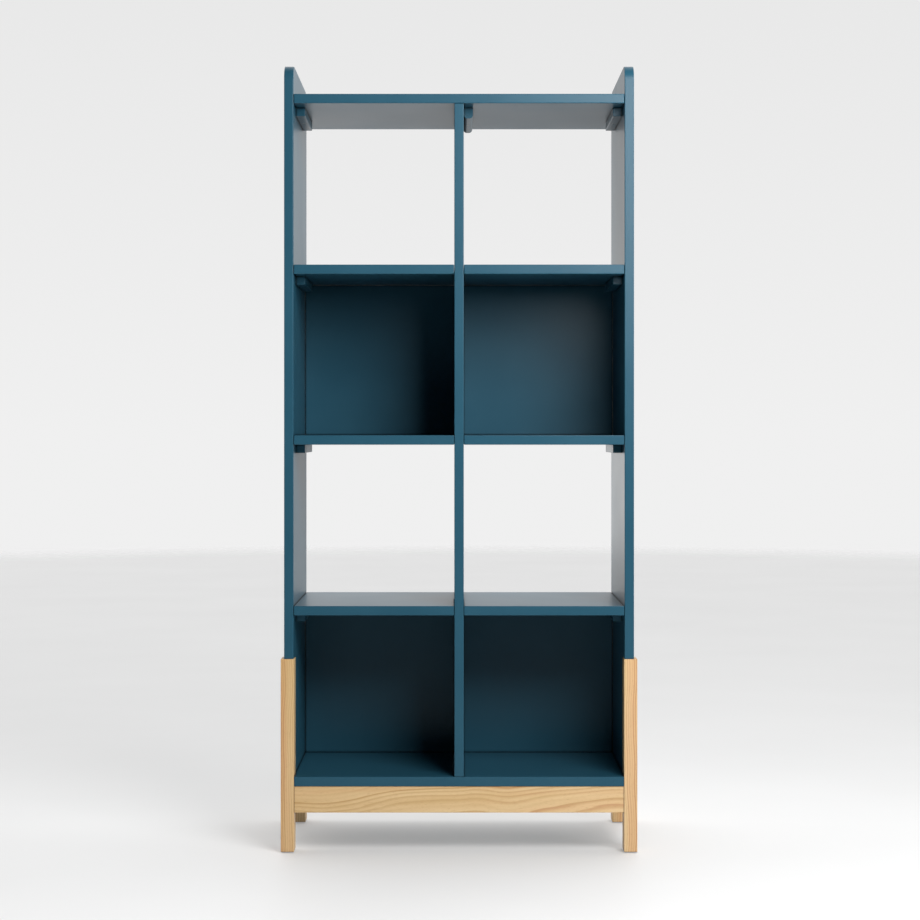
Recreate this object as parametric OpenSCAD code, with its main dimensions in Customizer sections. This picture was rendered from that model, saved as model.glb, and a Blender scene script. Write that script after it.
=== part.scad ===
// Cube storage unit, two bays wide and four bays high, standing on a solid wood leg frame.
//
// The case is lacquered board: two sides with rounded cheeks, a top, a bottom, three shelves and one
// full-height divider. Shelves and divider cross in half laps, so the divider is whole at the front
// and the shelves are whole at the rear. The top and the shelves are screwed to battens, the bottom
// is held by cam fittings, and the second and fourth rows are closed by back panels on dowels.
// Millimetres, +Z up, front towards -Y, origin on the floor under the centre of the unit.

/* [Bays] */
// Clear width of one bay
bay_w = 340; // [280:1:420]
// Clear height of one bay
bay_h = 341; // [280:1:420]

/* [Case] */
// Depth of the case, front edges to rear edges
case_d = 380; // [300:1:460]
// Thickness of the sides, top, bottom, shelves and divider
panel_t = 20; // [16:0.5:26]
// Height of the side cheeks above the top panel
cheek_h = 62; // [40:1:120]
// Radius of the cheeks' front and rear corners
cheek_r = 30; // [5:1:38]
// Thickness of the back panels
back_t = 12; // [9:0.5:18]
// Distance from the case's rear edges to the back panels' rear faces
back_inset = 34; // [10:1:60]

/* [Battens] */
// Width of a batten, out from the panel it is screwed to
batten_w = 20; // [15:0.5:30]
// Height of the battens on the sides
batten_h = 18; // [14:0.5:30]
// Height of the batten on the divider
centre_batten_h = 23; // [18:0.5:35]
// Radius of the divider batten's two lower edges
centre_batten_r = 8; // [2:0.5:9]
// Distance from the case's front edges to the battens
batten_front_gap = 62; // [30:1:90]
// Distance from the battens to the back panels' front faces
batten_rear_gap = 55; // [20:1:80]
// Distance from a batten's end to the screw next to it
batten_screw_inset = 34; // [12:1:40]

/* [Leg frame] */
// Height of the legs, floor to top
leg_h = 410; // [300:1:500]
// Depth of a leg, front to rear
leg_d = 45; // [40:1:60]
// How far the legs stand out beyond the outside of the case
leg_proud = 7; // [0:0.5:15]
// How far the legs stand in past the inside of the sides
leg_reveal = 1; // [0:0.5:3]
// Clear height under the aprons
floor_gap = 85; // [60:1:150]
// Height of the aprons and side rails
apron_h = 56; // [50:1:90]
// Thickness of the front and rear aprons
apron_t = 20; // [16:0.5:26]
// How far the aprons stand back from the legs' outer faces
apron_setback = 1.5; // [0:0.5:8]
// Radius of the foot glides
glide_r = 9; // [6:0.5:12]
// Thickness of a foot glide's pad, below the leg
glide_h = 2; // [1:0.5:6]

/* [Fastenings] */
// Radius of the wood screws
screw_r = 2; // [1.5:0.1:2.5]
// How deep the screws bite into a panel
screw_bite = 12; // [8:0.5:14]
// Radius of the dowels in the frame, the bottom and the divider
dowel_r = 4; // [3:0.5:5]
// Depth of a dowel in each piece of the leg frame
dowel_depth = 15; // [10:0.5:18]
// Radius of the dowels in the back panels
back_dowel_r = 3; // [2:0.5:4]
// Radius of a cam housing
cam_r = 7.5; // [6:0.5:9]
// Height of a cam housing
cam_h = 14.5; // [12:0.5:15]
// Length of each arm of a corner bracket
bracket_arm = 40; // [34:1:60]
// Height of the corner brackets
bracket_h = 40; // [20:1:46]
// Thickness of the brackets' steel
bracket_t = 2; // [1.5:0.5:3]
// Length of the wall bracket along the unit
wall_bracket_l = 80; // [70:1:160]
// Distance between the wall bracket's two wall holes
wall_hole_pitch = 50; // [30:1:60]
// Radius of the wall bracket's wall holes
wall_hole_r = 2.75; // [2:0.25:4]

/* [Hidden] */

$fn = 48;
cut = 1;              // how far a cut runs past the face it opens
fit_gap = 0.4;        // gap at the ends of shelves and panels, and in the half laps
hole_gap = 0.1;       // gap round a screw, dowel or cam in its hole
rows = 4;
front = 0;            // ends and sides, as at_corner and at_side take them
rear = 1;
left = 0;
right = 1;

// Levels and widths of the case
case_w = 2 * bay_w + 3 * panel_t;
case_z = floor_gap + apron_h;
pitch = bay_h + panel_t;
top_z = case_z + rows * pitch;
case_top = top_z + panel_t + cheek_h;
inner_x = case_w / 2 - panel_t;
leg_w = panel_t + leg_proud + leg_reveal;
leg_face_x = inner_x - leg_reveal;
leg_end_y = case_d / 2 - leg_d;
apron_mid_y = case_d / 2 - apron_setback - apron_t / 2;
apron_back_y = case_d / 2 - apron_setback - apron_t;
back_y = case_d / 2 - back_inset - back_t;

// The two places that lie this far in from the case's front and rear edges
function from_edges(inset) = [inset - case_d / 2, case_d / 2 - inset];

// Levels of the panels, from the bottom panel up
level_lower = case_z + pitch;
level_middle = case_z + 2 * pitch;
level_upper = case_z + 3 * pitch;

// Battens, and where their screws are, from the front
batten_y = -case_d / 2 + batten_front_gap;
batten_l = back_y - batten_rear_gap - batten_y;
batten_side_screw_ys = [batten_y + batten_screw_inset, batten_y + batten_l - batten_screw_inset];
batten_shelf_screw_y = batten_y + batten_l / 2;
batten_levels = [level_lower, level_middle, level_upper, top_z];

// Screws: countersunk heads sit just under the surface, pan heads lie on their bracket
csk_r = 2 * screw_r;
csk_h = screw_r;
csk_sink = 0.4;
pan_r = 1.9 * screw_r;
pan_top_r = 0.7 * pan_r;
pan_h = 1.1 * screw_r;
tip_l = 3;
tip_r = 0.3;
drive_l = 2.4 * screw_r;
drive_w = 0.5 * screw_r;
drive_depth = 1.2;

// Dowels in the frame: two at each end of an apron or rail, three at each leg's joint with its side
rail_dowel_zs = [for (s = [1, 3]) floor_gap + s * apron_h / 4];
leg_dowel_zs = [for (s = [1, 3, 5]) case_z + s * (leg_h - case_z) / 6];
frame_screw_z = floor_gap + apron_h / 2;

// Dowels in the case: 12 mm boards are dowelled into both faces of the divider, so those stay short
back_dowel_in_panel = 7;
back_dowel_in_back = 20;
back_dowel_inset = 60;
back_dowel_y = back_y + back_t / 2;
case_dowel_in_end = 18;
case_dowel_in_face = 12;
case_dowel_inset = 65;
case_dowel_ys = from_edges(case_dowel_inset);
divider_screw_inset = 125;
divider_screw_ys = from_edges(divider_screw_inset);
divider_screw_bite = 26;

// Cam fittings of the bottom panel
cam_reach = 24;
cam_bolt_r = 2.5;
cam_bolt_head_r = 3.4;
cam_bolt_head_l = 3;
cam_bolt_thread_r = 3;
cam_bolt_bite = 11;
cam_channel_r = 4;
cam_inset = 95;
cam_ys = from_edges(cam_inset);
bottom_dowel_pitch = 60;
bottom_dowel_ys = [-bottom_dowel_pitch / 2, bottom_dowel_pitch / 2];

// Corner brackets: each arm has a screw near the bend and one near its end
bracket_bend_r = 3;
bracket_bend_gap = 14;
bracket_end_gap = 9;
bracket_screws_at = [bracket_bend_gap, bracket_arm - bracket_end_gap];
bracket_screw_l = 14;

// Wall bracket: a steel angle on the top panel's rear edge
wall_bracket_t = 2.5;
wall_bracket_arm = 32;
wall_hole_z = 18;
wall_screw_y = 19;

// Foot glides: a pad with a stem pressed up into the leg
stem_r = 2.5;
stem_l = 14;

navy = [0.13, 0.28, 0.36];
oak = [0.81, 0.67, 0.48];
beech = [0.82, 0.66, 0.45];
steel = [0.72, 0.73, 0.74];

// ---- Placing: everything is drawn at the left or front left, and mirrored from there ----

module at_side(side) {
    mirror([side == right ? 1 : 0, 0, 0]) children();
}

module at_corner(side, end) {
    mirror([0, end == rear ? 1 : 0, 0]) at_side(side) children();
}

module at_all_corners() {
    for (side = [left, right], end = [front, rear]) at_corner(side, end) children();
}

module rod(r, l) {
    cylinder(h = l, r = r);
}

// Turn a piece drawn along +Z to point along +X, -X, +Y, -Y or -Z of the unit
module along_x() { rotate([0, 90, 0]) children(); }
module along_minus_x() { rotate([0, -90, 0]) children(); }
module along_y() { rotate([-90, 0, 0]) children(); }
module along_minus_y() { rotate([90, 0, 0]) children(); }
module along_minus_z() { rotate([180, 0, 0]) children(); }

// ---- Fastenings: drawn from the surface at z = 0 into the wood along +Z ----

module drive_cross() {
    for (turn = [0, 90]) rotate([0, 0, turn])
        translate([-drive_l / 2, -drive_w / 2, -cut]) cube([drive_l, drive_w, cut + drive_depth]);
}

module screw_shank(l) {
    rod(screw_r, l - tip_l);
    translate([0, 0, l - tip_l]) cylinder(h = tip_l, r1 = screw_r, r2 = tip_r);
}

module csk_screw(l) {
    translate([0, 0, csk_sink]) difference() {
        union() {
            cylinder(h = csk_h, r1 = csk_r, r2 = screw_r);
            screw_shank(l - csk_sink);
        }
        drive_cross();
    }
}

// Clearance hole with its countersink
module csk_hole(l) {
    translate([0, 0, -cut]) rod(screw_r + hole_gap, l + 2 * cut);
    translate([0, 0, -cut]) rod(csk_r + hole_gap, cut + csk_sink);
    translate([0, 0, csk_sink]) cylinder(h = csk_h, r1 = csk_r + hole_gap, r2 = screw_r + hole_gap);
}

module pilot_hole(l) {
    translate([0, 0, -cut]) rod(screw_r + hole_gap, l + cut + hole_gap);
}

module pan_screw(l) {
    difference() {
        union() {
            translate([0, 0, -pan_h]) cylinder(h = pan_h, r1 = pan_top_r, r2 = pan_r);
            screw_shank(l);
        }
        translate([0, 0, -pan_h]) drive_cross();
    }
}

module dowel_hole(r, depth) {
    translate([0, 0, -cut]) rod(r + hole_gap, depth + cut + hole_gap);
}

// ---- Where the fastenings are: each set runs its children at every place it has ----

// Batten screws into the left side panel, drawn from the batten's face outwards
module at_batten_side_screws(z, h) {
    for (y = batten_side_screw_ys)
        translate([-inner_x + batten_w, y, z - h / 2]) along_minus_x() children();
}

// Batten screws up into the panel above, drawn from the batten's underside
module at_batten_shelf_screw(z, h) {
    translate([-inner_x + batten_w / 2, batten_shelf_screw_y, z - h]) children();
}

// The divider's batten stands on its right face: the same places, moved over from the left side
module at_divider_face() {
    translate([inner_x + panel_t / 2, 0, 0]) children();
}

module at_back_dowels(z) {
    for (dz = [back_dowel_inset, bay_h - back_dowel_inset])
        translate([0, back_dowel_y, z + panel_t + dz]) children();
}

module at_case_dowels(z) {
    for (y = case_dowel_ys) translate([0, y, z]) children();
}

module at_divider_screws() {
    for (y = divider_screw_ys) translate([0, y, case_z]) children();
}

module at_cams() {
    for (y = cam_ys) translate([-inner_x, y, case_z + panel_t / 2]) children();
}

module at_bottom_dowels() {
    for (y = bottom_dowel_ys) translate([-inner_x, y, case_z + panel_t / 2]) children();
}

// Front left corner of the frame
module at_leg_dowels() {
    for (z = leg_dowel_zs) translate([-inner_x - panel_t / 2, -leg_end_y, z]) children();
}

module at_rail_dowels() {
    for (z = rail_dowel_zs) translate([-inner_x - panel_t / 2, -leg_end_y, z]) children();
}

module at_apron_dowels() {
    for (z = rail_dowel_zs) translate([-leg_face_x, -apron_mid_y, z]) children();
}

module at_bracket_apron_screws() {
    for (d = bracket_screws_at) translate([-leg_face_x + d, -apron_back_y + bracket_t, frame_screw_z])
        along_minus_y() children();
}

module at_bracket_side_screws() {
    for (d = bracket_screws_at) translate([-leg_face_x + bracket_t, -apron_back_y + d, frame_screw_z])
        along_minus_x() children();
}

module at_wall_bracket_screws() {
    for (side = [left, right]) at_side(side)
        translate([-wall_hole_pitch / 2, case_d / 2 - wall_screw_y, top_z + panel_t + wall_bracket_t])
            along_minus_z() children();
}

// ---- Case ----

// What is cut away to round a corner of radius r, with the corner at the origin
module corner_waste(r) {
    difference() {
        translate([-cut, -cut]) square(r + cut);
        translate([r, r]) circle(r);
    }
}

module side_outline() {
    difference() {
        translate([-case_d / 2, case_z]) square([case_d, case_top - case_z]);
        for (end = [front, rear]) mirror([end, 0]) {
            translate([-case_d / 2, case_top]) mirror([0, 1]) corner_waste(cheek_r);
            translate([-case_d / 2 - cut, case_z - cut])
                square([leg_d + cut, leg_h - case_z + cut]);
        }
    }
}

// Holes for the back panels' dowels in the side, and in the rear leg where that takes the side's place
module back_dowel_holes(z) {
    at_back_dowels(z) translate([-inner_x + leg_reveal, 0, 0]) along_minus_x()
        dowel_hole(back_dowel_r, leg_reveal + back_dowel_in_panel);
}

module side_panel(side) {
    color(navy) at_side(side) difference() {
        translate([-case_w / 2, 0, 0]) rotate([90, 0, 90]) linear_extrude(panel_t) side_outline();
        for (z = batten_levels) at_batten_side_screws(z, batten_h) csk_hole(batten_w + screw_bite);
        for (z = [case_z, level_middle]) back_dowel_holes(z);
        at_cams() along_minus_x() dowel_hole(cam_bolt_thread_r, cam_bolt_bite);
        at_bottom_dowels() along_minus_x() dowel_hole(dowel_r, case_dowel_in_face);
        for (end = [front, rear]) at_corner(left, end) at_leg_dowels()
            along_y() dowel_hole(dowel_r, dowel_depth);
    }
}

// A board as wide as the inside of the case, with its underside at z
module full_width_board(z) {
    translate([-inner_x + fit_gap, -case_d / 2, z])
        cube([2 * (inner_x - fit_gap), case_d, panel_t]);
}

module top_panel() {
    color(navy) difference() {
        full_width_board(top_z);
        for (side = [left, right]) at_side(side)
            at_batten_shelf_screw(top_z, 0) pilot_hole(screw_bite);
        at_divider_face() at_batten_shelf_screw(top_z, 0) pilot_hole(screw_bite);
        at_case_dowels(top_z) dowel_hole(dowel_r, case_dowel_in_face);
        at_wall_bracket_screws() translate([0, 0, wall_bracket_t]) pilot_hole(bracket_screw_l);
    }
}

// Room for a leg where it stands in past the inside of the sides
module leg_clearance() {
    translate([-case_w / 2, -case_d / 2 - cut, 0])
        cube([panel_t + leg_reveal + fit_gap, leg_d + cut + fit_gap, leg_h + fit_gap]);
}

module bottom_panel() {
    color(navy) difference() {
        full_width_board(case_z);
        at_all_corners() leg_clearance();
        for (side = [left, right]) at_side(side) {
            at_cams() along_x() dowel_hole(cam_channel_r, cam_reach + cam_bolt_head_l);
            at_cams() translate([cam_reach, 0, -panel_t / 2]) dowel_hole(cam_r, cam_h);
            at_bottom_dowels() along_x() dowel_hole(dowel_r, case_dowel_in_end);
        }
        at_divider_screws() csk_hole(panel_t);
        at_case_dowels(case_z + panel_t) along_minus_z() dowel_hole(dowel_r, case_dowel_in_face);
    }
}

module shelf(z) {
    color(navy) difference() {
        full_width_board(z);
        translate([-panel_t / 2 - fit_gap, -case_d / 2 - cut, z - cut])
            cube([panel_t + 2 * fit_gap, case_d / 2 + cut + fit_gap, panel_t + 2 * cut]);
        for (side = [left, right]) at_side(side)
            at_batten_shelf_screw(z, 0) pilot_hole(screw_bite);
    }
}

module centre_divider() {
    color(navy) difference() {
        translate([-panel_t / 2, -case_d / 2, case_z + panel_t])
            cube([panel_t, case_d, rows * pitch - panel_t]);
        for (z = [level_lower, level_middle, level_upper])
            translate([-panel_t / 2 - cut, 0, z])
                cube([panel_t + 2 * cut, case_d / 2 + cut, panel_t + fit_gap]);
        for (z = [case_z, level_middle], side = [left, right]) at_side(side) at_back_dowels(z)
            translate([-panel_t / 2, 0, 0]) along_x() dowel_hole(back_dowel_r, back_dowel_in_panel);
        at_divider_face() at_batten_side_screws(top_z, centre_batten_h)
            csk_hole(batten_w + screw_bite);
        at_case_dowels(top_z) along_minus_z() dowel_hole(dowel_r, case_dowel_in_end);
        at_case_dowels(case_z + panel_t) dowel_hole(dowel_r, case_dowel_in_end);
        at_divider_screws() pilot_hole(panel_t + divider_screw_bite);
    }
}

module back_panel(z, side) {
    color(navy) at_side(side) difference() {
        translate([-inner_x + fit_gap, back_y, z + panel_t])
            cube([bay_w - 2 * fit_gap, back_t, bay_h - fit_gap]);
        at_corner(left, rear) leg_clearance();
        at_back_dowels(z) {
            translate([-inner_x, 0, 0]) along_x() dowel_hole(back_dowel_r, back_dowel_in_back);
            translate([-panel_t / 2, 0, 0]) along_minus_x() dowel_hole(back_dowel_r, back_dowel_in_back);
        }
    }
}

// ---- Battens ----

module batten_body(z, h) {
    translate([-inner_x, batten_y, z - h]) cube([batten_w, batten_l, h]);
}

module batten_holes(z, h) {
    at_batten_side_screws(z, h) csk_hole(batten_w);
    at_batten_shelf_screw(z, h) csk_hole(h);
}

module side_batten(z, side) {
    color(navy) at_side(side) difference() {
        batten_body(z, batten_h);
        batten_holes(z, batten_h);
    }
}

module top_centre_batten() {
    color(navy) at_divider_face() difference() {
        batten_body(top_z, centre_batten_h);
        translate([-inner_x, batten_y + batten_l + cut, top_z - centre_batten_h])
            rotate([90, 0, 0]) linear_extrude(batten_l + 2 * cut) {
                corner_waste(centre_batten_r);
                translate([batten_w, 0]) mirror([1, 0]) corner_waste(centre_batten_r);
            }
        batten_holes(top_z, centre_batten_h);
    }
}

// ---- Leg frame ----

// The front left leg's plain block. It also cuts the apron and the rail off at its own faces, and
// runs past its inner face where what it cuts lies flush with that.
module leg_block(past = 0) {
    translate([-case_w / 2 - leg_proud, -case_d / 2, glide_h])
        cube([leg_w + past, leg_d, leg_h - glide_h]);
}

module leg(side, end) {
    color(oak) at_corner(side, end) difference() {
        leg_block();
        at_leg_dowels() along_minus_y() dowel_hole(dowel_r, dowel_depth);
        at_rail_dowels() along_minus_y() dowel_hole(dowel_r, dowel_depth);
        at_apron_dowels() along_minus_x() dowel_hole(dowel_r, dowel_depth);
        at_bracket_side_screws() pilot_hole(bracket_screw_l);
        at_glide() dowel_hole(stem_r, stem_l);
        if (end == rear) mirror([0, 1, 0]) back_dowel_holes(case_z);
    }
}

module apron(end) {
    color(oak) mirror([0, end, 0]) difference() {
        translate([-inner_x - cut, -apron_mid_y - apron_t / 2, floor_gap])
            cube([2 * (inner_x + cut), apron_t, apron_h]);
        for (side = [left, right]) at_side(side) {
            leg_block();
            at_apron_dowels() along_x() dowel_hole(dowel_r, dowel_depth);
            at_bracket_apron_screws() pilot_hole(bracket_screw_l);
        }
    }
}

module side_rail(side) {
    color(oak) at_side(side) difference() {
        translate([-case_w / 2, -leg_end_y - cut, floor_gap])
            cube([panel_t + leg_reveal, 2 * (leg_end_y + cut), apron_h]);
        for (end = [front, rear]) at_corner(left, end) {
            leg_block(cut);
            at_rail_dowels() along_y() dowel_hole(dowel_r, dowel_depth);
            at_bracket_side_screws() pilot_hole(bracket_screw_l);
        }
    }
}

module corner_bracket(side, end) {
    color(steel) at_corner(side, end) difference() {
        translate([-leg_face_x, -apron_back_y, frame_screw_z - bracket_h / 2])
            linear_extrude(bracket_h) difference() {
                square(bracket_arm);
                translate([bracket_t, bracket_t]) square(bracket_arm);
                corner_waste(bracket_bend_r);
            }
        at_bracket_apron_screws() pilot_hole(bracket_t);
        at_bracket_side_screws() pilot_hole(bracket_t);
    }
}

// Middle of the leg's foot
module at_glide() {
    translate([-case_w / 2 - leg_proud + leg_w / 2, -case_d / 2 + leg_d / 2, glide_h]) children();
}

module foot_glide(side, end) {
    color("white") at_corner(side, end) at_glide() {
        translate([0, 0, -glide_h]) rod(glide_r, glide_h);
        rod(stem_r, stem_l);
    }
}

// ---- Wall bracket ----

module wall_bracket() {
    color(steel) difference() {
        translate([-wall_bracket_l / 2, case_d / 2, top_z + panel_t])
            rotate([90, 0, 90]) linear_extrude(wall_bracket_l) difference() {
                translate([-wall_bracket_arm, 0]) square(wall_bracket_arm);
                translate([-wall_bracket_arm - wall_bracket_t, wall_bracket_t])
                    square(wall_bracket_arm);
                mirror([1, 0]) corner_waste(bracket_bend_r);
            }
        at_wall_bracket_screws() pilot_hole(wall_bracket_t);
        for (side = [left, right]) at_side(side)
            translate([-wall_hole_pitch / 2, case_d / 2 + cut, top_z + panel_t + wall_hole_z])
                along_minus_y() rod(wall_hole_r, wall_bracket_t + 2 * cut);
    }
}

// ---- Screws, cams and dowels, each kind in one node ----

module wall_bracket_screws() {
    color(steel) at_wall_bracket_screws() pan_screw(bracket_screw_l);
}

module batten_side_screws() {
    color(steel) {
        for (z = batten_levels, side = [left, right]) at_side(side)
            at_batten_side_screws(z, batten_h) csk_screw(batten_w + screw_bite);
        at_divider_face() at_batten_side_screws(top_z, centre_batten_h)
            csk_screw(batten_w + screw_bite);
    }
}

module batten_shelf_screws() {
    color(steel) {
        for (z = batten_levels, side = [left, right]) at_side(side)
            at_batten_shelf_screw(z, batten_h) csk_screw(batten_h + screw_bite);
        at_divider_face() at_batten_shelf_screw(top_z, centre_batten_h)
            csk_screw(centre_batten_h + screw_bite);
    }
}

module bracket_screws() {
    color(steel) at_all_corners() {
        at_bracket_apron_screws() pan_screw(bracket_screw_l);
        at_bracket_side_screws() pan_screw(bracket_screw_l);
    }
}

module divider_screws() {
    color(steel) at_divider_screws() csk_screw(panel_t + divider_screw_bite);
}

module bottom_cams() {
    color(steel) for (side = [left, right]) at_side(side) at_cams()
        translate([cam_reach, 0, -panel_t / 2]) difference() {
            rod(cam_r, cam_h);
            translate([-cam_r - cut, 0, panel_t / 2]) along_x() rod(cam_channel_r, 2 * cam_r);
            drive_cross();
        }
}

module bottom_cam_bolts() {
    color(steel) for (side = [left, right]) at_side(side) at_cams() {
        along_minus_x() rod(cam_bolt_thread_r, cam_bolt_bite);
        along_x() rod(cam_bolt_r, cam_reach);
        translate([cam_reach, 0, 0]) along_x() rod(cam_bolt_head_r, cam_bolt_head_l);
    }
}

module bottom_dowels() {
    color(beech) for (side = [left, right]) at_side(side) at_bottom_dowels()
        translate([-case_dowel_in_face, 0, 0]) along_x()
            rod(dowel_r, case_dowel_in_face + case_dowel_in_end);
}

module divider_dowels() {
    color(beech) {
        at_case_dowels(case_z + panel_t - case_dowel_in_face)
            rod(dowel_r, case_dowel_in_face + case_dowel_in_end);
        at_case_dowels(top_z - case_dowel_in_end)
            rod(dowel_r, case_dowel_in_face + case_dowel_in_end);
    }
}

module back_dowels() {
    color(beech) for (z = [case_z, level_middle], side = [left, right]) at_side(side)
        at_back_dowels(z) {
            translate([-inner_x - back_dowel_in_panel, 0, 0]) along_x()
                rod(back_dowel_r, back_dowel_in_panel + back_dowel_in_back);
            translate([-panel_t / 2 - back_dowel_in_back, 0, 0]) along_x()
                rod(back_dowel_r, back_dowel_in_panel + back_dowel_in_back);
        }
}

module leg_dowels() {
    color(beech) at_all_corners() at_leg_dowels() translate([0, dowel_depth, 0])
        along_minus_y() rod(dowel_r, 2 * dowel_depth);
}

module rail_dowels() {
    color(beech) at_all_corners() at_rail_dowels() translate([0, dowel_depth, 0])
        along_minus_y() rod(dowel_r, 2 * dowel_depth);
}

module apron_dowels() {
    color(beech) at_all_corners() at_apron_dowels() translate([-dowel_depth, 0, 0])
        along_x() rod(dowel_r, 2 * dowel_depth);
}

side_panel(left);  // left_side_panel
side_panel(right);  // right_side_panel
top_panel();
bottom_panel();
shelf(level_upper);  // upper_shelf
shelf(level_middle);  // middle_shelf
shelf(level_lower);  // lower_shelf
centre_divider();
back_panel(level_middle, left);  // upper_left_back
back_panel(level_middle, right);  // upper_right_back
back_panel(case_z, left);  // lower_left_back
back_panel(case_z, right);  // lower_right_back
side_batten(top_z, left);  // top_left_batten
side_batten(top_z, right);  // top_right_batten
top_centre_batten();
side_batten(level_upper, left);  // upper_left_batten
side_batten(level_upper, right);  // upper_right_batten
side_batten(level_middle, left);  // middle_left_batten
side_batten(level_middle, right);  // middle_right_batten
side_batten(level_lower, left);  // lower_left_batten
side_batten(level_lower, right);  // lower_right_batten
leg(left, front);  // front_left_leg
leg(right, front);  // front_right_leg
leg(left, rear);  // rear_left_leg
leg(right, rear);  // rear_right_leg
apron(front);  // front_apron
apron(rear);  // rear_apron
side_rail(left);  // left_side_rail
side_rail(right);  // right_side_rail
corner_bracket(left, front);  // front_left_bracket
corner_bracket(right, front);  // front_right_bracket
corner_bracket(left, rear);  // rear_left_bracket
corner_bracket(right, rear);  // rear_right_bracket
foot_glide(left, front);  // front_left_glide
foot_glide(right, front);  // front_right_glide
foot_glide(left, rear);  // rear_left_glide
foot_glide(right, rear);  // rear_right_glide
wall_bracket();
wall_bracket_screws();
batten_side_screws();
batten_shelf_screws();
bracket_screws();
divider_screws();
bottom_cams();
bottom_cam_bolts();
bottom_dowels();
divider_dowels();
back_dowels();
leg_dowels();
apron_dowels();
rail_dowels();
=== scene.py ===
import math

import bpy
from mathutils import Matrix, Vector


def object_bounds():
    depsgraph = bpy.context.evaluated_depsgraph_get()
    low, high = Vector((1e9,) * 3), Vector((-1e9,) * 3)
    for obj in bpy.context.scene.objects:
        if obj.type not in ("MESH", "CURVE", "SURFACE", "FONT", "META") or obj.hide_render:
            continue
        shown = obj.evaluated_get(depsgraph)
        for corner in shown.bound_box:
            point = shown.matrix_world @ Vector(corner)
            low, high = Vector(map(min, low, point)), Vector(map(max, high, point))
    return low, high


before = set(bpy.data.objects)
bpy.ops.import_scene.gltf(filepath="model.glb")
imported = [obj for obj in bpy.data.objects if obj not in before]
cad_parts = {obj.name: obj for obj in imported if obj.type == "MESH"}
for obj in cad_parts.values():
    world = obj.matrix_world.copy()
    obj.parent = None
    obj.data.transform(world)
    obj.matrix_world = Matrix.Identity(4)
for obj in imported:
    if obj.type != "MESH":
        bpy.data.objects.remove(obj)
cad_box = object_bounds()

scene = bpy.context.scene


# ---- Studio floor ---------------------------------------------------------------------------
# The top of a light table: a sheet of opal acrylic, sanded matt and lit softly from below, so
# that shadows on it stay pale. Far behind the unit it fades into the background, with no edge.

def linear(hex_colour):
    """An sRGB hex colour as the linear RGBA that shaders take."""
    channels = [int(hex_colour[i:i + 2], 16) / 255 for i in (1, 3, 5)]
    lin = [c / 12.92 if c <= 0.04045 else ((c + 0.055) / 1.055) ** 2.4 for c in channels]
    return (*lin, 1.0)


def add(tree, kind, inputs=None, **settings):
    """Adds a node, makes its settings, gives its inputs values or links, and returns its outputs."""
    made = tree.nodes.new("ShaderNode" + kind)
    for name, value in settings.items():
        setattr(made, name, value)
    for name, value in (inputs or {}).items():
        if isinstance(value, bpy.types.NodeSocket):
            tree.links.new(value, made.inputs[name])
        else:
            made.inputs[name].default_value = value
    return made.outputs


def new_finish(name):
    """An empty material, its node tree, and the place on the object in millimetres."""
    made = bpy.data.materials.new(name)
    made.use_nodes = True
    tree = made.node_tree
    tree.nodes.clear()
    place = add(tree, "NewGeometry")["Position"]
    return made, tree, add(tree, "VectorMath", {0: place, 3: 1000.0}, operation="SCALE")[0]


FLOOR_CENTRE = Vector((0.0, 4.0, 0.0))
FLOOR_RADIUS = 8.0
FLOOR_SOLID = 6.0       # from its centre to here the sheet is whole, and beyond it fades
FLOOR_SIDES = 96
FLOOR_GLOW = 0.245      # brightness of the light that comes up through the sheet
FLOOR_PATCH = 770.0     # width of a slightly denser patch of the sheet, mm


def opal_acrylic():
    """Sanded opal acrylic: milky and even, with no mirror, and a faint glow of its own."""
    made, tree, mm = new_finish("sanded_opal_acrylic")
    patches = add(tree, "TexNoise", {"Vector": mm, "Scale": 1 / FLOOR_PATCH, "Detail": 3.0})["Fac"]
    amount = add(tree, "MapRange", {"Value": patches, "From Min": 0.3, "From Max": 0.7})["Result"]
    tone = add(tree, "Mix", {0: amount, 6: linear("#BCBCBC"), 7: linear("#C0C0C0")}, data_type="RGBA")[2]
    sheet = add(tree, "BsdfPrincipled", {"Base Color": tone, "Roughness": 0.6, "IOR": 1.49,
                                         "Emission Color": linear("#FFFFFF"),
                                         "Emission Strength": FLOOR_GLOW})["BSDF"]
    distance = add(tree, "VectorMath", {0: mm, 1: FLOOR_CENTRE * 1000}, operation="DISTANCE")["Value"]
    fading = add(tree, "MapRange", {"Value": distance, "From Min": FLOOR_SOLID * 1000,
                                    "From Max": FLOOR_RADIUS * 1000},
                 interpolation_type="SMOOTHERSTEP")["Result"]
    clear = add(tree, "BsdfTransparent")["BSDF"]
    add(tree, "OutputMaterial", {"Surface": add(tree, "MixShader", {0: fading, 1: sheet, 2: clear})[0]})
    return made


floor_rim = [FLOOR_CENTRE + FLOOR_RADIUS * Vector((math.cos(turn), math.sin(turn), 0.0))
             for turn in (math.tau * i / FLOOR_SIDES for i in range(FLOOR_SIDES))]
floor_mesh = bpy.data.meshes.new("floor")
floor_mesh.from_pydata(floor_rim, [], [list(range(FLOOR_SIDES))])
floor_mesh.materials.append(opal_acrylic())
floor = bpy.data.objects.new("floor", floor_mesh)
scene.collection.objects.link(floor)


# ---- Light and camera -------------------------------------------------------------------------
# A white background lights the unit from behind and above, and mirrors in the lacquer wherever
# that is seen edge on. The camera's side is dark, and three softboxes stand there on the right.

LOW_LEFT = 1.79         # brightness of each part of the studio, as it falls on the unit
LOW_RIGHT = 0.73
MIDDLE = 1.0
OVERHEAD = 1.66
IN_FRONT = 0.03
LOW_TO_MIDDLE = (0.02, 0.1)         # where each part blends into the next, as the upward,
MIDDLE_TO_OVERHEAD = (0.35, 0.5)    # sideways or backward part of the direction to it
LEFT_TO_RIGHT = (-0.1, 0.1)
FRONT_TO_BACK = (-0.2, 0.2)
SEEN_LOW = 0.87         # brightness of the background itself, low down and higher up
SEEN_HIGH = 0.80


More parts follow.
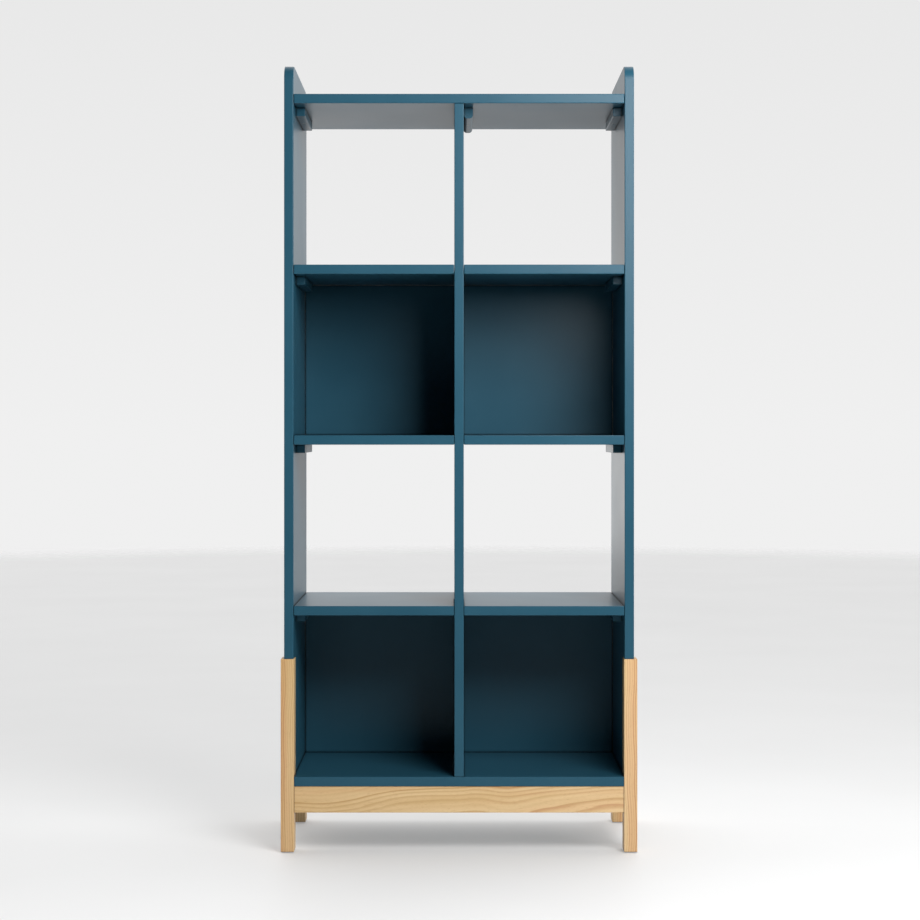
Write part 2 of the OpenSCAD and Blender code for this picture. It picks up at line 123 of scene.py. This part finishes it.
def studio():
    """The studio around the unit: bright behind, most of all overhead and low on the left."""
    world = bpy.data.worlds.new("studio")
    world.use_nodes = True
    tree = world.node_tree
    tree.nodes.clear()
    towards = add(tree, "SeparateXYZ", {0: add(tree, "TexCoord")["Generated"]})
    low = add(tree, "MapRange", {"Value": towards["X"], "From Min": LEFT_TO_RIGHT[0],
                                 "From Max": LEFT_TO_RIGHT[1], "To Min": LOW_LEFT, "To Max": LOW_RIGHT},
              interpolation_type="SMOOTHSTEP")["Result"]
    up_to_middle = add(tree, "MapRange", {"Value": towards["Z"], "From Min": LOW_TO_MIDDLE[0],
                                          "From Max": LOW_TO_MIDDLE[1], "To Min": low,
                                          "To Max": MIDDLE},
                       interpolation_type="SMOOTHSTEP")["Result"]
    behind = add(tree, "MapRange", {"Value": towards["Z"], "From Min": MIDDLE_TO_OVERHEAD[0],
                                    "From Max": MIDDLE_TO_OVERHEAD[1], "To Min": up_to_middle,
                                    "To Max": OVERHEAD},
                 interpolation_type="SMOOTHSTEP")["Result"]
    around = add(tree, "MapRange", {"Value": towards["Y"], "From Min": FRONT_TO_BACK[0],
                                    "From Max": FRONT_TO_BACK[1], "To Min": IN_FRONT,
                                    "To Max": behind},
                 interpolation_type="SMOOTHSTEP")["Result"]
    seen = add(tree, "MapRange", {"Value": towards["Z"], "From Max": 0.25, "To Min": SEEN_LOW,
                                  "To Max": SEEN_HIGH})["Result"]
    white = linear("#FFFFFF")
    lighting = add(tree, "Background", {"Color": white, "Strength": around})[0]
    backdrop = add(tree, "Background", {"Color": white, "Strength": seen})[0]
    to_camera = add(tree, "LightPath")["Is Camera Ray"]
    both = add(tree, "MixShader", {0: to_camera, 1: lighting, 2: backdrop})[0]
    add(tree, "OutputWorld", {"Surface": both})
    return world


scene.world = studio()
scene.view_settings.view_transform = "Standard"

SOFTBOXES = [           # name, place, point it faces, size in metres, power in watts
    ("near_softbox", Vector((0.75, -1.6, 1.75)), Vector((0.0, 0.0, 1.1)), 1.0, 37.0),
    ("high_softbox", Vector((1.5, -3.5, 2.8)), Vector((0.0, 0.0, 0.8)), 1.5, 40.0),
    ("right_softbox", Vector((3.0, -2.5, 1.2)), Vector((0.0, 0.0, 0.8)), 1.5, 33.0),
]
for name, place, faces, size, power in SOFTBOXES:
    lamp = bpy.data.lights.new(name, "AREA")
    lamp.shape = "SQUARE"
    lamp.size = size
    lamp.energy = power
    softbox = bpy.data.objects.new(name, lamp)
    softbox.location = place
    softbox.rotation_euler = (faces - place).to_track_quat("-Z", "Y").to_euler()
    softbox.visible_camera = False
    scene.collection.objects.link(softbox)

CAMERA_DISTANCE = 4.37  # in front of the case's front edges
CAMERA_X = -0.0044
CAMERA_HEIGHT = 0.892
LENS = 80.9
FILM_WIDTH = 36.0
SHIFT_X = 0.0033
SHIFT_Y = -0.0315

camera = bpy.data.objects.new("camera", bpy.data.cameras.new("camera"))
camera.location = (CAMERA_X, cad_box[0].y - CAMERA_DISTANCE, CAMERA_HEIGHT)
camera.rotation_euler = (math.pi / 2, 0.0, 0.0)
camera.data.lens = LENS
camera.data.sensor_width = FILM_WIDTH
camera.data.shift_x = SHIFT_X
camera.data.shift_y = SHIFT_Y
scene.collection.objects.link(camera)
scene.camera = camera


# ---- Legs -----------------------------------------------------------------------------------
# Four square legs of solid oak, planed, with every edge eased by sanding, then clear matt
# lacquered. Each runs up beside the case in a notch of its side, and is held there by dowels.

SHARP = 50.0            # an edge that turns by more than this is rounded, degrees


def ease(name, radius, segments=3):
    """Rounds a CAD node's sharp edges by a radius in millimetres, and keeps its flat faces flat.

    New corners don't slide along old edges, which would fold slivers over beside the screw holes.
    """
    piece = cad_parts[name]
    piece.modifiers.new("joined_corners", "WELD").merge_threshold = 1e-5
    eased = piece.modifiers.new("eased_edges", "BEVEL")
    eased.width = radius / 1000
    eased.segments = segments
    eased.limit_method = "ANGLE"
    eased.angle_limit = math.radians(SHARP)
    eased.use_clamp_overlap = False
    eased.loop_slide = False
    eased.face_strength_mode = "FSTR_ALL"
    flat = piece.modifiers.new("flat_faces", "WEIGHTED_NORMAL")
    flat.keep_sharp = True
    flat.use_face_influence = True


def finish(names, material, radius, segments=3):
    """Gives some CAD nodes one material and eased edges."""
    for name in names:
        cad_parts[name].data.materials.clear()
        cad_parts[name].data.materials.append(material)
        ease(name, radius, segments)


def shade_openness(tree, reach):
    """1 on open faces, falling to 0 in a joint or corner narrower than about reach, in mm; it sets where
    shade is painted into the colour.
    """
    return add(tree, "AmbientOcclusion", {"Distance": reach / 1000}, samples=8)["AO"]


YEAR_RING = 4.6         # thickness of one year's growth, mm
PORE = (9.0, 0.9)       # length and width of the open pores, mm, drawn about three times too wide
FIGURE = (260.0, 34.0)  # length over which the grain swings from side to side, and how far, mm
WAVER = (24.0, 7.0)     # width and depth of the small waves in each line, mm
TONE_PATCH = 45.0       # width of a lighter or darker patch, mm, and of a redder one
RED_PATCH = 30.0
LENGTHWISE = 0.06       # how much slower all this changes along the grain than across it
OAK_SHADE_REACH = 5.0         # width of the painted shade along a joint or in a corner, mm


def oak(name, along, heart, lean):
    """Lacquered oak: pale straw, darker lines of late wood and short pores, all with the grain.

    along is the grain's axis, heart is a point on the tree's centre line in mm, and lean turns
    the centre line a little, in degrees, so that the lines run out of the board's edges.
    """
    made, tree, mm = new_finish(name)
    from_heart = add(tree, "VectorMath", {0: mm, 1: heart}, operation="SUBTRACT")[0]
    trunk = add(tree, "Mapping", {"Vector": from_heart, "Rotation": [math.radians(a) for a in lean]})[0]
    lengthwise = {axis: LENGTHWISE if axis == along else 1.0 for axis in "XYZ"}
    stretched = add(tree, "VectorMath", {0: trunk, 1: tuple(lengthwise.values())},
                    operation="MULTIPLY")[0]
    # the centre line swings along the board, which bends the lines into long waves
    run = {axis: 1 / FIGURE[0] if axis == along else 0.0 for axis in "XYZ"}
    swing = add(tree, "TexNoise", {"Vector": add(tree, "VectorMath", {0: trunk, 1: tuple(run.values())},
                                                 operation="MULTIPLY")[0],
                                   "Scale": 1.0, "Detail": 1.5})["Color"]
    swung = add(tree, "VectorMath", {0: swing, 1: [FIGURE[1]] * 3, 2: trunk},
                operation="MULTIPLY_ADD")[0]
    flat = {axis: 0.0 if axis == along else 1.0 for axis in "XYZ"}
    radius = add(tree, "VectorMath", {0: add(tree, "VectorMath", {0: swung, 1: tuple(flat.values())},
                                             operation="MULTIPLY")[0]}, operation="LENGTH")["Value"]
    waver = add(tree, "TexNoise", {"Vector": stretched, "Scale": 1 / WAVER[0], "Detail": 3.0})["Fac"]
    years = add(tree, "Math", {0: add(tree, "Math", {0: waver, 1: WAVER[1], 2: radius},
                                      operation="MULTIPLY_ADD")[0], 1: YEAR_RING}, operation="DIVIDE")[0]
    ring = add(tree, "Math", {0: years}, operation="FRACT")[0]
    rising = add(tree, "MapRange", {"Value": ring, "From Min": 0.3, "From Max": 0.85},
                 interpolation_type="SMOOTHSTEP")["Result"]
    ending = add(tree, "MapRange", {"Value": ring, "From Min": 1.0, "From Max": 0.9})["Result"]
    late_wood = add(tree, "Math", {0: rising, 1: ending}, operation="MULTIPLY")[0]
    year = add(tree, "Math", {0: years}, operation="FLOOR")[0]
    strength = add(tree, "TexWhiteNoise", {"W": year}, noise_dimensions="1D")["Value"]
    line = add(tree, "Math", {0: late_wood, 1: strength}, operation="MULTIPLY")[0]
    # slow changes of tone: straw to cream in the early wood, ochre to red-brown in the late wood
    tone = add(tree, "TexNoise", {"Vector": stretched, "Scale": 1 / TONE_PATCH, "Detail": 3.0})["Fac"]
    tone = add(tree, "MapRange", {"Value": tone, "From Min": 0.34, "From Max": 0.66})["Result"]
    early = add(tree, "Mix", {0: tone, 6: linear("#C5A26E"), 7: linear("#D9BC8E")}, data_type="RGBA")[2]
    warmth = add(tree, "TexNoise", {"Vector": stretched, "Scale": 1 / RED_PATCH, "Detail": 2.0,
                                    "Distortion": 0.4})
    warmth = add(tree, "MapRange", {"Value": warmth["Fac"], "From Min": 0.4, "From Max": 0.62})["Result"]
    late = add(tree, "Mix", {0: warmth, 6: linear("#B68F57"), 7: linear("#B0774B")}, data_type="RGBA")[2]
    blush = add(tree, "Mix", {0: add(tree, "Math", {0: warmth, 1: 0.35}, operation="MULTIPLY")[0],
                              6: early, 7: linear("#CD9B6C")}, data_type="RGBA")[2]
    grain = add(tree, "Mix", {0: line, 6: blush, 7: late}, data_type="RGBA")[2]
    dash = {axis: 1 / PORE[0] if axis == along else 1 / PORE[1] for axis in "XYZ"}
    pores = add(tree, "TexNoise", {"Vector": add(tree, "VectorMath", {0: trunk, 1: tuple(dash.values())},
                                                 operation="MULTIPLY")[0],
                                   "Scale": 1.0, "Detail": 2.0})["Fac"]
    open_pore = add(tree, "MapRange", {"Value": pores, "From Min": 0.58, "From Max": 0.76, "To Max": 0.4})
    pored = add(tree, "Mix", {0: open_pore["Result"], 6: grain, 7: linear("#9A6C40")}, data_type="RGBA")[2]
    # painted shade: the oak turns dark brown in joints and corners, where shade falls
    joint = add(tree, "MapRange", {"Value": shade_openness(tree, OAK_SHADE_REACH), "From Min": 0.5, "From Max": 0.95,
                                   "To Min": 0.8, "To Max": 0.0})["Result"]
    colour = add(tree, "Mix", {0: joint, 6: pored, 7: linear("#4A2F1C")}, data_type="RGBA")[2]
    sunk = add(tree, "Bump", {"Strength": 0.25, "Distance": 0.0002, "Height": pores}, invert=True)[0]
    rough = add(tree, "MapRange", {"Value": pores, "To Min": 0.42, "To Max": 0.58})["Result"]
    wood = add(tree, "BsdfPrincipled", {"Base Color": colour, "Roughness": rough, "IOR": 1.5,
                                        "Normal": sunk})["BSDF"]
    add(tree, "OutputMaterial", {"Surface": wood})
    return made


LEGS = ["front_left_leg", "front_right_leg", "rear_left_leg", "rear_right_leg"]
OAK_EDGE = 1.0

leg_oak = oak("clear_lacquered_oak_legs", "Z", (20.0, -60.0, 0.0), (0.6, 1.0, 0.0))
finish(LEGS, leg_oak, OAK_EDGE)


# ---- Front and rear aprons --------------------------------------------------------------------
# Flat-sawn oak boards dowelled between the legs, just under the case, with the same edges and
# lacquer as the legs. Their grain runs across the unit in long, leaning waves.

apron_oak = oak("clear_lacquered_oak_aprons", "X", (0.0, -30.0, 55.0), (0.0, 3.0, 1.0))
finish(["front_apron", "rear_apron"], apron_oak, OAK_EDGE)


# ---- Side rails -------------------------------------------------------------------------------
# The same oak board again, dowelled between the front and rear leg on each side, and hidden
# from the front by the legs.

rail_oak = oak("clear_lacquered_oak_rails", "Y", (-240.0, 0.0, 50.0), (2.0, 0.0, 1.0))
finish(["left_side_rail", "right_side_rail"], rail_oak, OAK_EDGE)


# ---- Side panels ------------------------------------------------------------------------------
# Medium-density fibreboard, 20 mm, cut on a router with round cheeks at the top and a notch for
# each leg, sanded, primed and sprayed dark blue. The other boards of the case are made alike.

ORANGE_PEEL = 1.6       # width of the spray's ripples, mm
COAT = 140.0            # width of a patch where the coat is a little thicker, mm
BOARD_SHADE_REACH = 6.0       # width of the painted shade along a joint or in a corner, mm


def spray_lacquer():
    """Satin spray lacquer: deep even blue, a soft sheen, faint ripples, and painted shade where boards
    meet.
    """
    made, tree, mm = new_finish("satin_blue_spray_lacquer")
    coat = add(tree, "TexNoise", {"Vector": mm, "Scale": 1 / COAT, "Detail": 3.0})["Fac"]
    amount = add(tree, "MapRange", {"Value": coat, "From Min": 0.3, "From Max": 0.7})["Result"]
    blue = add(tree, "Mix", {0: amount, 6: linear("#224C5E"), 7: linear("#265062")}, data_type="RGBA")[2]
    # painted shade: the blue turns nearly black where boards meet and in corners, where shade falls
    joint = add(tree, "MapRange", {"Value": shade_openness(tree, BOARD_SHADE_REACH), "From Min": 0.5, "From Max": 0.95,
                                   "To Min": 0.9, "To Max": 0.0})["Result"]
    colour = add(tree, "Mix", {0: joint, 6: blue, 7: linear("#06131A")}, data_type="RGBA")[2]
    ripples = add(tree, "TexNoise", {"Vector": mm, "Scale": 1 / ORANGE_PEEL, "Detail": 2.0})["Fac"]
    peel = add(tree, "Bump", {"Strength": 0.12, "Distance": 0.00005, "Height": ripples})[0]
    rough = add(tree, "MapRange", {"Value": coat, "To Min": 0.31, "To Max": 0.37})["Result"]
    lacquer = add(tree, "BsdfPrincipled", {"Base Color": colour, "Roughness": rough, "IOR": 1.5,
                                           "Specular IOR Level": 0.2, "Normal": peel})["BSDF"]
    add(tree, "OutputMaterial", {"Surface": lacquer})
    return made


BOARD_EDGE = 1.6
lacquer = spray_lacquer()
finish(["left_side_panel", "right_side_panel"], lacquer, BOARD_EDGE)


# ---- Top and bottom panels --------------------------------------------------------------------
# Lacquered board between the sides. The top rests on battens and is screwed up from them, and
# the bottom is pulled tight to the sides by cams and dowels.

BOTTOM_EDGE = 0.8       # smaller, to keep clear of the cam holes
finish(["top_panel"], lacquer, BOARD_EDGE)
finish(["bottom_panel"], lacquer, BOTTOM_EDGE)


# ---- Centre divider and shelves ---------------------------------------------------------------
# Lacquered boards that cross in half laps: the divider is whole along the front, and each shelf
# is whole along the rear, so neither can rack.

finish(["centre_divider", "lower_shelf", "middle_shelf", "upper_shelf"], lacquer, BOARD_EDGE)


# ---- Back panels ------------------------------------------------------------------------------
# Thinner lacquered board, one to each bay of the second and fourth rows, held on dowels between
# the side and the divider, and set in from the rear.

BACK_EDGE = 0.8
finish(["upper_left_back", "upper_right_back", "lower_left_back", "lower_right_back"], lacquer, BACK_EDGE)


# ---- Battens ----------------------------------------------------------------------------------
# Square strips of lacquered wood screwed sideways into the sides and the divider, with the top
# and the shelves screwed down to them. The centre one is deeper, with its lower edges rounded.

BATTEN_EDGE = 1.2
CENTRE_BATTEN_EDGE = 0.3
battens = [f"{level}_{hand}_batten" for level in ("top", "upper", "middle", "lower")
           for hand in ("left", "right")]
finish(battens, lacquer, BATTEN_EDGE)
finish(["top_centre_batten"], lacquer, CENTRE_BATTEN_EDGE)


# ---- Screws -----------------------------------------------------------------------------------
# Steel wood screws, zinc-plated by the barrel, in the battens, the divider's foot, the corner
# brackets and the wall bracket.

TURNING_MARK = 0.35     # spacing of the fine marks of the tool and the plating, mm
CLOUD = 12.0            # width of a yellower cloud in the plating, mm
HOLE_SHADE_REACH = 6.0              # depth in a hole at which painted shade turns its walls and the screw in it black, mm


def zinc_plated_steel(name, mark):
    """Bright zinc plate: a cool, slightly yellow grey metal with fine marks, and painted shade that makes
    it nearly black in a hole.
    """
    made, tree, mm = new_finish(name)
    cloud = add(tree, "TexNoise", {"Vector": mm, "Scale": 1 / CLOUD, "Detail": 3.0})["Fac"]
    colour = add(tree, "Mix", {0: cloud, 6: linear("#B4B9BC"), 7: linear("#C6C4B4")}, data_type="RGBA")[2]
    # painted shade: the metal turns nearly black down in a hole, where shade falls
    hole_shade = add(tree, "MapRange", {"Value": shade_openness(tree, HOLE_SHADE_REACH), "From Min": 0.3, "From Max": 0.9,
                                     "To Min": 1.0, "To Max": 0.0})["Result"]
    colour = add(tree, "Mix", {0: hole_shade, 6: colour, 7: linear("#0C0F11")}, data_type="RGBA")[2]
    marks = add(tree, "TexNoise", {"Vector": mm, "Scale": 1 / mark, "Detail": 2.0})["Fac"]
    scuffed = add(tree, "Bump", {"Strength": 0.15, "Distance": 0.00003, "Height": marks})[0]
    rough = add(tree, "MapRange", {"Value": cloud, "To Min": 0.26, "To Max": 0.46})["Result"]
    steel = add(tree, "BsdfPrincipled", {"Base Color": colour, "Metallic": 1.0, "Roughness": rough,
                                         "Normal": scuffed})["BSDF"]
    add(tree, "OutputMaterial", {"Surface": steel})
    return made


SCREW_EDGE = 0.15
screw_zinc = zinc_plated_steel("zinc_plated_screw_steel", TURNING_MARK)
finish(["batten_side_screws", "batten_shelf_screws", "divider_screws", "bracket_screws",
        "wall_bracket_screws"], screw_zinc, SCREW_EDGE, 2)


# ---- Corner brackets and wall bracket -----------------------------------------------------------
# Angles pressed from 2 mm steel strip and zinc-plated. Four stiffen the leg frame's corners from
# inside, and one behind the top takes the two screws that hold the unit to a wall.

ROLLING_MARK = 0.8      # spacing of the marks left on the strip by rolling, mm
BRACKET_EDGE = 0.3
corners = ["front_left", "front_right", "rear_left", "rear_right"]
bracket_zinc = zinc_plated_steel("zinc_plated_bracket_strip", ROLLING_MARK)
finish([corner + "_bracket" for corner in corners] + ["wall_bracket"], bracket_zinc, BRACKET_EDGE, 2)


# ---- Cam housings and cam bolts ----------------------------------------------------------------
# Zinc cams, die-cast and tumbled, set in the underside of the bottom panel. Each grips the head
# of a plated bolt that is screwed into the side.

CAST_GRAIN = 0.6        # size of the fine pits of the casting, mm


def cast_zinc():
    """Die-cast zinc: a dull mid grey metal with a soft, slightly pitted skin."""
    made, tree, mm = new_finish("tumbled_cast_zinc")
    pits = add(tree, "TexNoise", {"Vector": mm, "Scale": 1 / CAST_GRAIN, "Detail": 3.0})["Fac"]
    colour = add(tree, "Mix", {0: pits, 6: linear("#85888A"), 7: linear("#A2A4A4")}, data_type="RGBA")[2]
    skin = add(tree, "Bump", {"Strength": 0.3, "Distance": 0.00005, "Height": pits})[0]
    rough = add(tree, "MapRange", {"Value": pits, "To Min": 0.42, "To Max": 0.6})["Result"]
    metal = add(tree, "BsdfPrincipled", {"Base Color": colour, "Metallic": 1.0, "Roughness": rough,
                                         "Normal": skin})["BSDF"]
    add(tree, "OutputMaterial", {"Surface": metal})
    return made


finish(["bottom_cams"], cast_zinc(), BRACKET_EDGE, 2)
finish(["bottom_cam_bolts"], screw_zinc, SCREW_EDGE, 2)


# ---- Dowels -----------------------------------------------------------------------------------
# Turned beech pins, glued across every joint of the leg frame and the case. They are inside the
# wood once the unit is together.

BEECH_FLECK = (3.0, 0.5)    # length and width of beech's brown flecks, mm


def turned_beech():
    """Plain beech: even pinkish tan with short brown flecks, dry and unpolished."""
    made, tree, mm = new_finish("turned_beech")
    squeezed = add(tree, "VectorMath", {0: mm, 1: (1 / BEECH_FLECK[0], 1 / BEECH_FLECK[1],
                                                   1 / BEECH_FLECK[1])}, operation="MULTIPLY")[0]
    flecks = add(tree, "TexNoise", {"Vector": squeezed, "Scale": 1.0, "Detail": 2.0})["Fac"]
    amount = add(tree, "MapRange", {"Value": flecks, "From Min": 0.5, "From Max": 0.7})["Result"]
    colour = add(tree, "Mix", {0: amount, 6: linear("#D0A679"), 7: linear("#A8744C")}, data_type="RGBA")[2]
    grain = add(tree, "Bump", {"Strength": 0.2, "Distance": 0.0001, "Height": flecks}, invert=True)[0]
    wood = add(tree, "BsdfPrincipled", {"Base Color": colour, "Roughness": 0.68, "IOR": 1.5,
                                        "Normal": grain})["BSDF"]
    add(tree, "OutputMaterial", {"Surface": wood})
    return made


DOWEL_EDGE = 0.6
dowels = [joint + "_dowels" for joint in ("leg", "apron", "rail", "bottom", "divider", "back")]
finish(dowels, turned_beech(), DOWEL_EDGE, 2)


# ---- Foot glides ------------------------------------------------------------------------------
# Round pads moulded in off-white nylon, each with a stem pressed into a hole under its leg, so
# that the unit slides without marking the floor.

MOULD_GRAIN = 0.5       # size of the fine spark-eroded grain of the mould, mm


def moulded_nylon():
    """Natural nylon: a warm, waxy off-white that lets a little light in, with a fine matt grain."""
    made, tree, mm = new_finish("moulded_natural_nylon")
    spark = add(tree, "TexNoise", {"Vector": mm, "Scale": 1 / MOULD_GRAIN, "Detail": 2.0})["Fac"]
    colour = add(tree, "Mix", {0: spark, 6: linear("#DAD6C8"), 7: linear("#E4E0D4")}, data_type="RGBA")[2]
    grain = add(tree, "Bump", {"Strength": 0.2, "Distance": 0.00004, "Height": spark})[0]
    rough = add(tree, "MapRange", {"Value": spark, "To Min": 0.42, "To Max": 0.55})["Result"]
    nylon = add(tree, "BsdfPrincipled", {"Base Color": colour, "Roughness": rough, "IOR": 1.53,
                                         "Subsurface Weight": 0.15, "Subsurface Scale": 0.002,
                                         "Normal": grain})["BSDF"]
    add(tree, "OutputMaterial", {"Surface": nylon})
    return made


GLIDE_EDGE = 0.4
finish([corner + "_glide" for corner in corners], moulded_nylon(), GLIDE_EDGE)
